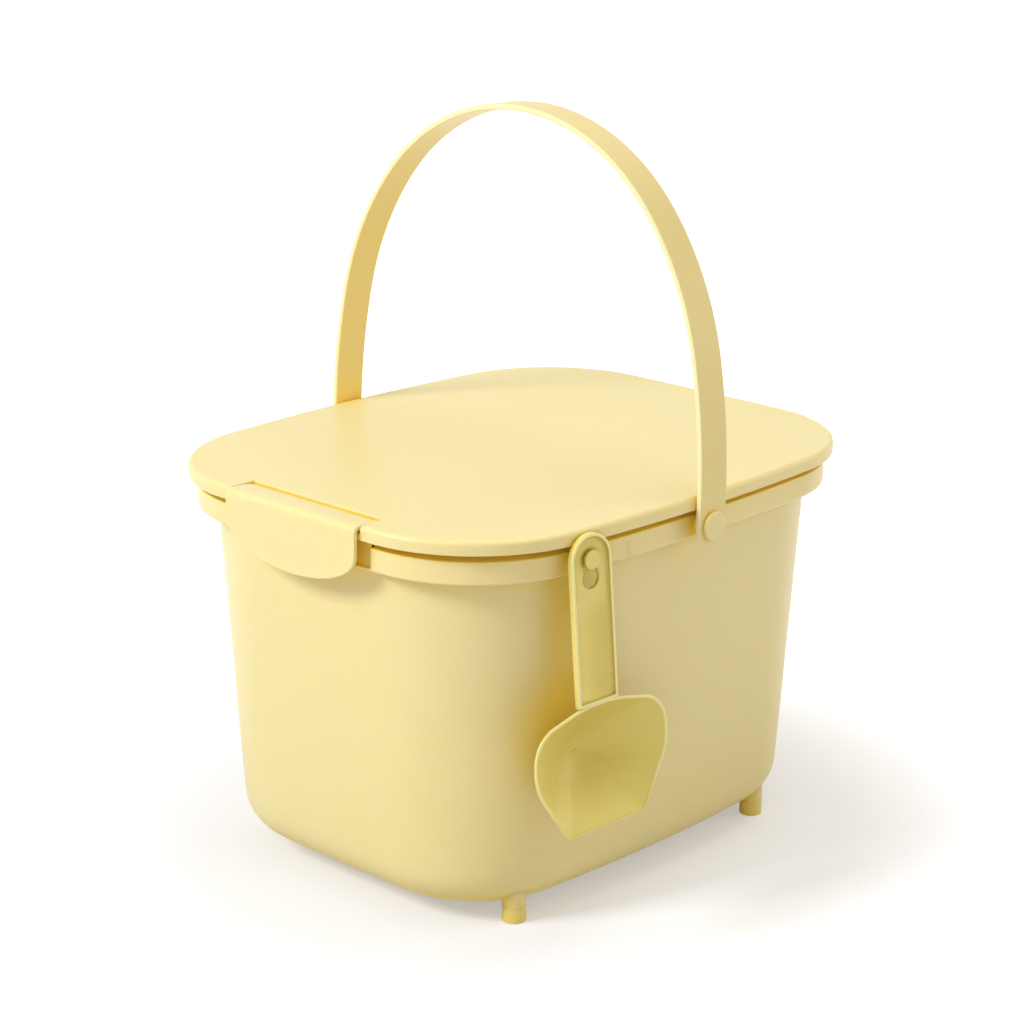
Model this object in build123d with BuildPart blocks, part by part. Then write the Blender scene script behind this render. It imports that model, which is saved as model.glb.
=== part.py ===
from build123d import *
import os
from math import cos, radians

os.makedirs("parts", exist_ok=True)

# Pet food storage bin. Millimetres, Z up, latch towards -Y, scoop on +X, feet stand on Z = 0.

# plan outline shared by the lid, the rim band and the wall: four shallow arcs and four round corners
half_width = 131.0
half_depth = 159.7
side_bulge = 12.3
end_bulge = 2.0
side_radius = (half_depth**2 + side_bulge**2) / (2 * side_bulge)
end_radius = (half_width**2 + end_bulge**2) / (2 * end_bulge)
lid_corner = 74.0

# tub
tub_bottom = 8.4
base_inset = 23.2
base_round = 23.5
floor_ease = 14.0
wall_inset = 11.4
wall_corner = 73.2
wall = 2.4
floor_thickness = 2.6
band_bottom = 190.6
band_top = 202.8
band_inset = 4.7
band_skin = 2.4
mouth_top = 204.8
rib_width = 2.0
rib_count = 12

# lid
lid_bottom = 207.1
lid_top = 214.3
lid_skin = 2.6
lid_edge_round = 2.4
liner_thickness = 1.6
plug_inset = 14.8
plug_corner = wall_corner + wall_inset - plug_inset
plug_bottom = 199.5
seal_inset = 11.1
seal_bottom = 205.1

# front latch, hinged in a notch of the lid
latch_half = 47.0
latch_skin = 2.4
latch_front = -162.9
latch_low = 180.3
latch_drop = 18.0
latch_axis_y = -147.2
latch_axis_z = 212.5
latch_barrel = 1.8
latch_pin_radius = 0.8
notch_half = 47.6
pocket_half = 50.0

# rear hinge
hinge_y = 159.4
hinge_z = 203.0
knuckle_radius = 3.6
hinge_pin_radius = 1.75
hinge_half = 46.0
knuckle_gap = 0.4

# carrying handle
strap_width = 20.2
strap_thickness = 3.2
arch_base = 209.2
arch_radii = (350.2, 161.4, 121.5)
arch_turns = (11.83, 28.09, 50.08)
handle_lean = 1.9
pivot_y = 1.3
pivot_z = 198.0
pivot_radius = 4.0
pivot_boss = 7.4
cap_radius = 7.7
cap_outer = 137.2

# feet
foot_x = 90.9
foot_y = 95.7
foot_radius = 6.2
foot_seat = 8.0
spigot_radius = 3.6
spigot_length = 2.6

# scoop: its plane turns with the wall's bulge and leans out at the foot
scoop_turn = 4.7
scoop_tilt = 3.5
scoop_lean = 1.5
scoop_x = 131.9
scoop_y = -85.9
scoop_z = 199.6
grip_half = 13.2
grip_depth = 3.4
grip_floor = 1.8
grip_rim = 1.8
neck_v = -72.5
lip_v = -137.5
lip_half = 27.0
bowl_half = 44.3
bowl_depth = 22.3
bowl_skin = 1.8
peg_radius = 2.9
peg_head = 5.0
keyhole_radius = 5.5
keyhole_drop = 9.5

# the arcs of one side of the arch end level over the middle, which sets how far out it starts
strap_outer = 0
turned = 0
for radius, turn in zip(arch_radii, arch_turns):
    strap_outer += radius * (cos(radians(turned)) - cos(radians(turned + turn)))
    turned += turn


def outline(inset, corner):
    with BuildSketch(Plane.XY, mode=Mode.PRIVATE) as shape:
        with Locations((half_width - side_radius, 0)):
            Circle(side_radius - inset)
        with Locations((side_radius - half_width, 0)):
            Circle(side_radius - inset, mode=Mode.INTERSECT)
        with Locations((0, half_depth - end_radius)):
            Circle(end_radius - inset, mode=Mode.INTERSECT)
        with Locations((0, end_radius - half_depth)):
            Circle(end_radius - inset, mode=Mode.INTERSECT)
        fillet(shape.vertices(), corner)
    return shape.sketch


# half section of a wall turned about an upright axis: leaning side, eased foot, flat floor
def wall_section(top_radius, width, low, ease, size):
    lean = (base_inset - wall_inset) / (band_bottom - tub_bottom)
    with BuildSketch(Plane.XY, mode=Mode.PRIVATE) as section:
        with BuildLine():
            Polyline(
                (top_radius - width, low),
                (top_radius - lean * (band_bottom - low), low),
                (top_radius, band_bottom),
                (top_radius - width, band_bottom),
                close=True,
            )
        make_face()
        ease(section.vertices().group_by(Axis.Y)[0].sort_by(Axis.X)[-1], size)
    return section.sketch


# tub form at a distance inside its outer face: each arc of the plan is turned about its own centre,
# round a block that joins the four corners' centres
def tub_form(gap, low, ease, size):
    corner = wall_corner - gap
    arcs = outline(wall_inset + gap, corner).edges()
    corner_centre = arcs.sort_by(lambda e: e.radius)[0].arc_center
    with BuildPart(mode=Mode.PRIVATE) as form:
        with BuildSketch(Plane.XY.offset(low)):
            Rectangle(2 * abs(corner_centre.X), 2 * abs(corner_centre.Y))
        extrude(amount=band_bottom - low)
        for arc in arcs:
            centre = arc.arc_center
            spoke = (arc @ 0) - centre
            turn = spoke.get_signed_angle((arc @ 1) - centre, Vector(0, 0, 1))
            width = min(arc.radius, corner + 6)
            with BuildSketch(Plane(origin=centre, x_dir=spoke, z_dir=spoke.cross(Vector(0, 0, 1)))):
                add(wall_section(arc.radius, width, low, ease, size))
            revolve(axis=Axis(centre, (0, 0, 1)), revolution_arc=turn)
    return form.part


# tub cavity, taken out of the tub once its outside is whole
with BuildPart() as cavity:
    add(tub_form(wall, tub_bottom + floor_thickness, chamfer, floor_ease))
    with BuildSketch(Plane.XY.offset(band_bottom)):
        add(outline(wall_inset + wall, wall_corner - wall))
    extrude(amount=mouth_top - band_bottom + 1)

with BuildPart() as tub:
    add(tub_form(0, tub_bottom, fillet, base_round))
    # foot bosses come down out of the rounded corners
    with BuildSketch(Plane.XY.offset(foot_seat)):
        with GridLocations(2 * foot_x, 2 * foot_y, 2, 2):
            Circle(foot_radius)
    extrude(amount=base_round / 2)
    # neck that the seal closes on
    with BuildSketch(Plane.XY.offset(band_bottom)):
        add(outline(wall_inset, wall_corner))
    extrude(amount=mouth_top - band_bottom)
    # rim band: a skirt round the neck, softened along its lower edge
    with BuildSketch(Plane.XY.offset(band_bottom)):
        add(outline(band_inset, lid_corner - band_inset))
    extrude(amount=band_top - band_bottom)
    band_low = tub.faces().filter_by(Plane.XY).filter_by(lambda f: abs(f.center().Z - band_bottom) < 0.1)
    chamfer(band_low.sort_by(SortBy.AREA)[-1].outer_wire().edges(), 1.5)
    band_high = tub.faces().filter_by(Plane.XY).filter_by(lambda f: abs(f.center().Z - band_top) < 0.1)
    chamfer(band_high.sort_by(SortBy.AREA)[-1].outer_wire().edges(), 0.6)
    # the skirt is hollow from below, between stiffening ribs
    with BuildSketch(Plane.XY.offset(band_bottom)):
        add(outline(band_inset + band_skin, lid_corner - band_inset - band_skin))
        add(outline(wall_inset, wall_corner), mode=Mode.SUBTRACT)
        with PolarLocations(0, rib_count // 2, start_angle=7.5, angular_range=180):
            Rectangle(4 * half_depth, rib_width, mode=Mode.SUBTRACT)
        Rectangle(3 * half_depth, 26, mode=Mode.SUBTRACT)
        with Locations((0, -half_depth)):
            Rectangle(2 * pocket_half + 6, 40, mode=Mode.SUBTRACT)
        with Locations((half_width, scoop_y)):
            Rectangle(40, 20, mode=Mode.SUBTRACT)
    extrude(amount=band_top - band_bottom - band_skin, mode=Mode.SUBTRACT)
    # pocket behind the latch, with the bead that its hook passes
    with BuildSketch(Plane.XY.offset(band_bottom + 1.6)):
        with Locations((0, -half_depth - 12.6)):
            Rectangle(2 * pocket_half, 40)
    extrude(amount=band_top - band_bottom, mode=Mode.SUBTRACT)
    with BuildSketch(Plane.YZ) as bead:
        with BuildLine():
            Polyline((-151.5, 194.4), (-156.9, 194.4), (-157.5, 195.0), (-157.5, 195.8), (-151.5, 199.4), close=True)
        make_face()
    extrude(amount=22, both=True)
    # bosses that hold the handle off the band
    for side in (1, -1):
        with BuildSketch(Plane.YZ.offset(side * (strap_outer - strap_thickness - 0.3))):
            with Locations((pivot_y, pivot_z)):
                Circle(pivot_boss)
        extrude(amount=-side * 8)
    # boss that holds the scoop's peg clear of the band
    peg_plane = Plane(
        origin=(scoop_x, scoop_y, scoop_z),
        x_dir=Vector(0, 1, 0).rotate(Axis.Z, -scoop_turn),
        z_dir=Vector(1, 0, 0).rotate(Axis.Z, -scoop_turn),
    )
    with BuildSketch(peg_plane.offset(-grip_depth - 0.6)):
        Circle(5.6)
    extrude(amount=-8)
    # rear knuckles
    for x_from, x_to in ((-hinge_half, -30), (-8, 8), (30, hinge_half)):
        with BuildSketch(Plane.YZ.offset(x_from)):
            with Locations((hinge_y, hinge_z)):
                Circle(knuckle_radius)
            with BuildLine():
                Polyline(
                    (hinge_y - 6, hinge_z - 0.6),
                    (hinge_y, hinge_z + 1.2),
                    (hinge_y + knuckle_radius * 0.7, hinge_z - knuckle_radius * 0.7),
                    (hinge_y - 6, hinge_z - 9),
                    close=True,
                )
            make_face()
        extrude(amount=x_to - x_from)
    add(cavity.part, mode=Mode.SUBTRACT)
    # bores: handle pivots, hinge pin, scoop peg, foot sockets
    for side in (1, -1):
        with BuildSketch(Plane.YZ.offset(side * strap_outer)):
            with Locations((pivot_y, pivot_z)):
                Circle(pivot_radius)
        extrude(amount=-side * (strap_outer - 118.8), mode=Mode.SUBTRACT)
    with BuildSketch(Plane.YZ):
        with Locations((hinge_y, hinge_z)):
            Circle(hinge_pin_radius)
    extrude(amount=hinge_half + 1, both=True, mode=Mode.SUBTRACT)
    with BuildSketch(peg_plane):
        Circle(peg_radius + 0.05)
    extrude(amount=-15.5, mode=Mode.SUBTRACT)
    with BuildSketch(Plane.XY.offset(foot_seat)):
        with GridLocations(2 * foot_x, 2 * foot_y, 2, 2):
            Circle(spigot_radius)
    extrude(amount=spigot_length + 0.2, mode=Mode.SUBTRACT)

tub.part.label = "tub"
export_step(tub.part, "parts/tub.step")

# feet: round pegs, spigots up into the bosses
with BuildPart() as foot:
    Cylinder(foot_radius, foot_seat, align=(Align.CENTER, Align.CENTER, Align.MIN))
    with Locations((0, 0, foot_seat)):
        Cylinder(spigot_radius, spigot_length, align=(Align.CENTER, Align.CENTER, Align.MIN))

foot_places = {
    "foot_front_left": (-foot_x, -foot_y),
    "foot_front_right": (foot_x, -foot_y),
    "foot_rear_left": (-foot_x, foot_y),
    "foot_rear_right": (foot_x, foot_y),
}
for foot_name, (foot_at_x, foot_at_y) in foot_places.items():
    placed_foot = Pos(foot_at_x, foot_at_y, 0) * foot.part
    placed_foot.label = foot_name
    export_step(placed_foot, f"parts/{foot_name}.step")

# lid cover: a shallow pan turned over, notched at the front for the latch
with BuildPart() as lid_cover:
    with BuildSketch(Plane.XY.offset(lid_bottom)):
        add(outline(0, lid_corner))
    extrude(amount=lid_top - lid_bottom)
    fillet(lid_cover.faces().sort_by(Axis.Z)[-1].edges(), lid_edge_round)
    with BuildSketch(Plane.XY.offset(lid_bottom)):
        add(outline(lid_skin, lid_corner - lid_skin))
    extrude(amount=lid_top - lid_skin - lid_bottom, mode=Mode.SUBTRACT)
    # thicker bed under the latch
    with BuildSketch(Plane.XY.offset(lid_bottom + liner_thickness + 0.2)):
        with Locations((0, -149.5)):
            Rectangle(2 * notch_half + 8, 18)
    extrude(amount=4.2)
    with BuildSketch(Plane.XY.offset(latch_axis_z - latch_barrel - 0.3)):
        with Locations((0, latch_axis_y + latch_barrel + 0.7 - 15)):
            Rectangle(2 * notch_half, 30)
    extrude(amount=10, mode=Mode.SUBTRACT)
    # holes for the ends of the latch pin
    with BuildSketch(Plane.YZ):
        with Locations((latch_axis_y, latch_axis_z)):
            Circle(latch_pin_radius)
    extrude(amount=notch_half + 2.6, both=True, mode=Mode.SUBTRACT)
    # rear knuckles, webbed up to the lid's edge
    for x_from, x_to in ((-30 + knuckle_gap, -8 - knuckle_gap), (8 + knuckle_gap, 30 - knuckle_gap)):
        with BuildSketch(Plane.YZ.offset(x_from)):
            with Locations((hinge_y, hinge_z)):
                Circle(knuckle_radius)
            with BuildLine():
                Polyline(
                    (hinge_y - knuckle_radius + 1.2, hinge_z),
                    (hinge_y + knuckle_radius, hinge_z),
                    (half_depth - 0.6, lid_bottom + 2.5),
                    (half_depth - lid_skin + 0.2, lid_bottom + 2.5),
                    close=True,
                )
            make_face()
            with Locations((hinge_y, hinge_z)):
                Circle(hinge_pin_radius + 0.06, mode=Mode.SUBTRACT)
        extrude(amount=x_to - x_from)

lid_cover.part.label = "lid_cover"
export_step(lid_cover.part, "parts/lid_cover.step")

# lid liner: closes the pan from below and carries a ring that plugs the mouth
with BuildPart() as lid_liner:
    with BuildSketch(Plane.XY.offset(lid_bottom)):
        add(outline(lid_skin + 0.3, lid_corner - lid_skin - 0.3))
    extrude(amount=liner_thickness)
    with BuildSketch(Plane.XY.offset(plug_bottom)):
        add(outline(plug_inset, plug_corner))
        add(outline(plug_inset + 2, plug_corner - 2), mode=Mode.SUBTRACT)
    extrude(amount=lid_bottom - plug_bottom)
    chamfer(lid_liner.faces().sort_by(Axis.Z)[0].outer_wire().edges(), 0.8)

lid_liner.part.label = "lid_liner"
export_step(lid_liner.part, "parts/lid_liner.step")

# lid seal: soft ring round the plug, with two lips towards the mouth's edge
with BuildPart() as lid_seal:
    with BuildSketch(Plane.XY.offset(seal_bottom)):
        add(outline(seal_inset, wall_corner + 0.3))
        add(outline(plug_inset, plug_corner), mode=Mode.SUBTRACT)
    extrude(amount=lid_bottom - seal_bottom)
    with BuildSketch(Plane.XY.offset(seal_bottom)):
        add(outline(seal_inset + 1.2, wall_corner - 0.7))
        add(outline(seal_inset + 2.2, wall_corner - 1.7), mode=Mode.SUBTRACT)
    extrude(amount=0.9, mode=Mode.SUBTRACT)

lid_seal.part.label = "lid_seal"
export_step(lid_seal.part, "parts/lid_seal.step")

# latch: a plate bent over the lid's edge, with a half-oval flap and a hook inside
with BuildPart() as latch:
    with BuildSketch(Plane.YZ):
        with BuildLine():
            Polyline(
                (latch_axis_y, latch_axis_z + latch_barrel),
                (latch_front, latch_axis_z + latch_barrel),
                (latch_front, latch_low),
                (latch_front + latch_skin, latch_low),
                (latch_front + latch_skin, latch_axis_z + latch_barrel - latch_skin),
                (latch_axis_y, latch_axis_z + latch_barrel - latch_skin),
                close=True,
            )
        make_face()
    extrude(amount=latch_half, both=True)
    bend = latch.edges().filter_by(Axis.X).group_by(Axis.Y)[0].sort_by(Axis.Z)[-1]
    fillet(bend, 3.2)
    inner_bend = latch.edges().filter_by(Axis.X).filter_by(
        lambda e: abs(e.center().Y - latch_front - latch_skin) < 0.1 and e.center().Z > 205
    )
    fillet(inner_bend, 1.0)
    with BuildSketch(Plane.XZ.offset(140)):
        with Locations((0, latch_low + latch_drop)):
            Ellipse(latch_half, latch_drop)
        with Locations((0, latch_low + latch_drop + 20)):
            Rectangle(2 * latch_half, 40)
    extrude(amount=30, mode=Mode.INTERSECT)
    with BuildSketch(Plane.YZ):
        with Locations((latch_axis_y, latch_axis_z)):
            Circle(latch_barrel)
    extrude(amount=latch_half, both=True)
    with BuildSketch(Plane.YZ):
        with BuildLine():
            Polyline(
                (latch_front + 1.5, 191.4),
                (-157.9, 191.4),
                (-157.9, 190.2),
                (latch_front + 1.5, 187.6),
                close=True,
            )
        make_face()
    extrude(amount=20, both=True)
    with BuildSketch(Plane.YZ):
        with Locations((latch_axis_y, latch_axis_z)):
            Circle(latch_pin_radius + 0.05)
    extrude(amount=latch_half + 1, both=True, mode=Mode.SUBTRACT)

latch.part.label = "latch"
export_step(latch.part, "parts/latch.step")

with BuildPart() as latch_pin:
    with BuildSketch(Plane.YZ):
        with Locations((latch_axis_y, latch_axis_z)):
            Circle(latch_pin_radius)
    extrude(amount=notch_half + 2.4, both=True)
    chamfer(latch_pin.edges(), 0.2)

latch_pin.part.label = "latch_pin"
export_step(latch_pin.part, "parts/latch_pin.step")

with BuildPart() as hinge_pin:
    with BuildSketch(Plane.YZ):
        with Locations((hinge_y, hinge_z)):
            Circle(hinge_pin_radius)
    extrude(amount=hinge_half, both=True)
    chamfer(hinge_pin.edges(), 0.3)

hinge_pin.part.label = "hinge_pin"
export_step(hinge_pin.part, "parts/hinge_pin.step")

# handle: one flat strap bent through three arcs a side, with round ends about the pivots
with BuildPart() as handle:
    with BuildSketch(Plane.XZ.offset(-pivot_y - strap_width / 2)):
        with BuildLine():
            for inward in (0, strap_thickness):
                start = (strap_outer - inward, arch_base)
                heading = (0, 1)
                Line((strap_outer - inward, pivot_z - strap_width / 2), start)
                for radius, turn in zip(arch_radii, arch_turns):
                    bend = JernArc(start, heading, radius - inward, turn)
                    start = bend @ 1
                    heading = bend % 1
            Line(
                (strap_outer - strap_thickness, pivot_z - strap_width / 2),
                (strap_outer, pivot_z - strap_width / 2),
            )
            mirror(about=Plane.YZ)
        make_face()
    extrude(amount=strap_width)
    with BuildSketch(Plane.YZ):
        with Locations((pivot_y, pivot_z - strap_width / 2)):
            Rectangle(strap_width + 2, strap_width)
        with Locations((pivot_y, pivot_z)):
            Circle(strap_width / 2, mode=Mode.SUBTRACT)
    extrude(amount=half_width + 20, both=True, mode=Mode.SUBTRACT)
    with BuildSketch(Plane.YZ):
        with Locations((pivot_y, pivot_z)):
            Circle(pivot_radius + 0.08)
    extrude(amount=half_width + 20, both=True, mode=Mode.SUBTRACT)

# it stands a little back from upright
leaning_handle = handle.part.rotate(Axis((0, pivot_y, pivot_z), (1, 0, 0)), -handle_lean)
leaning_handle.label = "handle"
export_step(leaning_handle, "parts/handle.step")

# handle pivots: headed pins pressed into the tub's bosses
for side, pivot_name in ((-1, "handle_pivot_left"), (1, "handle_pivot_right")):
    with BuildPart() as pivot:
        with BuildSketch(Plane.YZ.offset(side * 119.2)):
            with Locations((pivot_y, pivot_z)):
                Circle(pivot_radius)
        extrude(amount=side * (strap_outer + 0.6 - 119.2))
        with BuildSketch(Plane.YZ.offset(side * (strap_outer + 0.3))):
            with Locations((pivot_y, pivot_z)):
                Circle(cap_radius)
        extrude(amount=side * (cap_outer - strap_outer - 0.3))
        chamfer(pivot.faces().sort_by(Axis.X)[-1 if side > 0 else 0].edges(), 0.5)
    pivot.part.label = pivot_name
    export_step(pivot.part, f"parts/{pivot_name}.step")

# scoop: channelled grip with a keyhole, running into a deep bowl that opens outwards
scoop_plane = peg_plane.rotated((scoop_lean, -scoop_tilt, 0))


def bowl_outline(shrink, top, shoulder, waist, bottom):
    half = bowl_half - shrink
    with BuildSketch(Plane.XY, mode=Mode.PRIVATE) as shape:
        with BuildLine():
            Polyline(
                (0, top),
                (half * 0.25, top),
                (half, shoulder),
                (half + 0.7, waist),
                (lip_half - shrink * 0.8, bottom),
                (0, bottom),
            )
            mirror(about=Plane.YZ)
        make_face()
        fillet(shape.vertices().group_by(Axis.Y)[0], 2.5)
        fillet(shape.vertices().filter_by(lambda v: abs(v.Y - shoulder) < 0.01), 15 - 0.38 * shrink)
        fillet(shape.vertices().filter_by(lambda v: abs(v.Y - waist) < 0.01), 24 - 1.2 * shrink)
    return shape.sketch


bowl_levels = (
    (0, (0, neck_v, neck_v - 8.5, -107, lip_v)),
    (-bowl_depth, (13, neck_v - 6, neck_v - 10, -100, lip_v + 26)),
)
inner_levels = (
    (0, (bowl_skin, neck_v - bowl_skin, neck_v - 8.5 - bowl_skin, -107, lip_v + 0.4)),
    (bowl_skin - bowl_depth, (13 + bowl_skin, neck_v - 6 - bowl_skin, neck_v - 11, -100, lip_v + 29)),
)

with BuildPart() as bowl_space:
    for offset_w, measures in inner_levels:
        with BuildSketch(scoop_plane.offset(offset_w)):
            add(bowl_outline(*measures))
    loft()

with BuildPart() as scoop:
    # bowl outside, deepest near the neck, its floor rising to the lip
    for offset_w, measures in bowl_levels:
        with BuildSketch(scoop_plane.offset(offset_w)):
            add(bowl_outline(*measures))
    loft()
    # grip, a shallow tray with a light rim
    with BuildSketch(scoop_plane.offset(-grip_depth)):
        Circle(grip_half)
        with Locations((0, neck_v / 2 - 2)):
            Rectangle(2 * grip_half, 4 - neck_v)
    extrude(amount=grip_depth)
    add(bowl_space.part, mode=Mode.SUBTRACT)
    with BuildSketch(scoop_plane.offset(grip_floor - grip_depth)):
        Circle(grip_half - grip_rim)
        with Locations((0, neck_v / 2 + 2)):
            Rectangle(2 * (grip_half - grip_rim), -neck_v - 4)
    extrude(amount=grip_depth, mode=Mode.SUBTRACT)
    # keyhole: the wide end passes over the peg's head, the narrow end hangs on its neck
    with BuildSketch(scoop_plane.offset(-grip_depth - 1)):
        with Locations((0, -keyhole_drop)):
            Circle(keyhole_radius)
        with Locations((0, -keyhole_drop / 2)):
            Rectangle(2 * peg_radius + 0.5, keyhole_drop)
        Circle(peg_radius + 0.25)
    extrude(amount=grip_depth, mode=Mode.SUBTRACT)

scoop.part.label = "scoop"
export_step(scoop.part, "parts/scoop.step")

# peg: round shank in the tub's boss, flat head in front of the grip's floor
with BuildPart() as scoop_peg:
    with BuildSketch(peg_plane.offset(-15.2)):
        Circle(peg_radius)
    extrude(amount=15.2 - 1.0)
    with BuildSketch(peg_plane.offset(-1.1)):
        Circle(peg_head)
    extrude(amount=1.9)
    chamfer(scoop_peg.edges().filter_by(GeomType.CIRCLE).sort_by(Axis.X)[-1], 0.5)

scoop_peg.part.label = "scoop_peg"
export_step(scoop_peg.part, "parts/scoop_peg.step")
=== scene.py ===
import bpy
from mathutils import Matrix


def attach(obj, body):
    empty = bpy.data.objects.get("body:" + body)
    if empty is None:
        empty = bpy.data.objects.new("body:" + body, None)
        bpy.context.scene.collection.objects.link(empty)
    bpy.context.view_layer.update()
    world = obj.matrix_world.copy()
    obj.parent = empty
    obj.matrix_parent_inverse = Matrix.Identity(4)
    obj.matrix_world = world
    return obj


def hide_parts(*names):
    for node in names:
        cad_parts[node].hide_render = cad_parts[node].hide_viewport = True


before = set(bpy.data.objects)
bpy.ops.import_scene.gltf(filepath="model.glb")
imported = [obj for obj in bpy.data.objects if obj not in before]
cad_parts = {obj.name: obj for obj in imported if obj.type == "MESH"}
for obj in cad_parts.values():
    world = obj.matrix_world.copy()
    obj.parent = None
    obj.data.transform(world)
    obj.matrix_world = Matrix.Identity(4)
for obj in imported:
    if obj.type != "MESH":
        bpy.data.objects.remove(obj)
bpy.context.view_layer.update()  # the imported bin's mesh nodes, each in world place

import math

import bpy
import numpy as np
from mathutils import Matrix, Vector

mm = 0.001  # surfaces are worked out in millimetres and written in metres
print("frame loaded:", len(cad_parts), "nodes")

# camera: looks at the aim point from an azimuth and an elevation
view = {"azimuth": 43.39, "elevation": 17.01, "distance": 1.4550, "roll": 0.33,  # degrees and metres
        "aim": (0.0, 0.0, 0.1773), "lens": 95.338, "shiftX": -0.00368, "shiftY": -0.00149}

azimuth, elevation = math.radians(view["azimuth"]), math.radians(view["elevation"])
towards = Vector((math.sin(azimuth) * math.cos(elevation), -math.cos(azimuth) * math.cos(elevation),
                  math.sin(elevation)))
cameraData = bpy.data.cameras.new("camera")
cameraData.lens = view["lens"]
cameraData.shift_x, cameraData.shift_y = view["shiftX"], view["shiftY"]
cameraData.clip_start, cameraData.clip_end = 0.05, 60
camera = bpy.data.objects.new("camera", cameraData)
camera.location = Vector(view["aim"]) + towards * view["distance"]
camera.rotation_mode = "QUATERNION"
rolled = Matrix.Rotation(math.radians(view["roll"]), 3, "Z")
camera.rotation_quaternion = ((-towards).to_track_quat("-Z", "Y").to_matrix() @ rolled).to_quaternion()
bpy.context.scene.collection.objects.link(camera)
bpy.context.scene.camera = camera
print("camera set")


# Material maths

# a node's output; + - * with numbers or other outputs add Math nodes
class Flow:
    def __init__(self, shop, socket):
        self.shop, self.socket = shop, socket

    def join(self, operation, first, second):
        return self.shop.node("ShaderNodeMath", {"operation": operation}, {0: first, 1: second})

    def __add__(self, other):
        return self.join("ADD", self, other)

    def __sub__(self, other):
        return self.join("SUBTRACT", self, other)

    def __rsub__(self, other):
        return self.join("SUBTRACT", other, self)

    def __mul__(self, other):
        return self.join("MULTIPLY", self, other)

    __radd__, __rmul__ = __add__, __mul__


# one material's or the world's node tree
class Shop:
    def __init__(self, tree):
        self.tree = tree
        tree.nodes.clear()

    # adds a node: its settings first, then its sockets' values or links; out names the output that is wanted
    def node(self, kind, settings=None, values=None, out=0):
        made = self.tree.nodes.new(kind)
        for name, value in (settings or {}).items():
            setattr(made, name, value)
        for name, value in (values or {}).items():
            if isinstance(value, Flow):
                self.tree.links.new(value.socket, made.inputs[name])
            else:
                made.inputs[name].default_value = value
        return Flow(self, made.outputs[out]) if len(made.outputs) else made

    # straight blend of two colours: first (1 - factor) + second factor
    def blend(self, factor, first, second):
        values = {"Factor": factor, "A": first, "B": second}
        return self.node("ShaderNodeMix", {"data_type": "RGBA"}, values, "Result")

    # noise in object space, 0 to 1, with its size in millimetres
    def noise(self, size, detail=2.0, roughness=0.5):
        place = self.node("ShaderNodeTexCoord", out="Object")
        values = {"Vector": place, "Scale": 1 / (size * mm), "Detail": detail, "Roughness": roughness}
        return self.node("ShaderNodeTexNoise", {}, values, "Fac")

    # value moved from one range to another on the smooth step 3 t^2 - 2 t^3, and held inside it
    def ramp(self, value, low, high, toLow=0.0, toHigh=1.0):
        values = {"Value": value, "From Min": low, "From Max": high, "To Min": toLow, "To Max": toHigh}
        return self.node("ShaderNodeMapRange", {"interpolation_type": "SMOOTHSTEP"}, values)

    # bump normal from a height in metres
    def bump(self, height):
        return self.node("ShaderNodeBump", {}, {"Strength": 1.0, "Distance": 1.0, "Height": height})


# new material and its node tree, emptied
def newMaterial(name):
    material = bpy.data.materials.new(name)
    material.use_nodes = True
    return material, Shop(material.node_tree)


plasticLook = {
    "colour": (0.955, 0.778, 0.375, 1), "deep": (0.930, 0.735, 0.310, 1),  # linear colours
    "hollow": (0.975, 0.715, 0.105, 1), "hollowReach": 0.026,  # painted shade, warm like bounced light, where faces crowd, and how near
    "hollowFrom": 0.95, "hollowTo": 0.25,  # share of open sky where the painted shade starts and where it is full
    "cloudSize": 90.0, "cloudShare": 0.30,  # slow variation of the pigment
    "fleckSize": 2.4, "fleckShare": 0.10,
    "roughness": 0.40, "roughnessSpread": 0.07, "roughnessSize": 14.0,
    "grainSize": 0.55, "grainDepth": 0.006,  # fine spark texture of the mould, mm
    "waveSize": 38.0, "waveDepth": 0.05,  # sink and flow of a thin wall, mm
    "glow": 0.30, "glowReach": (1.0, 0.62, 0.22), "glowSize": 0.008,  # light that goes in and comes out
}


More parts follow.
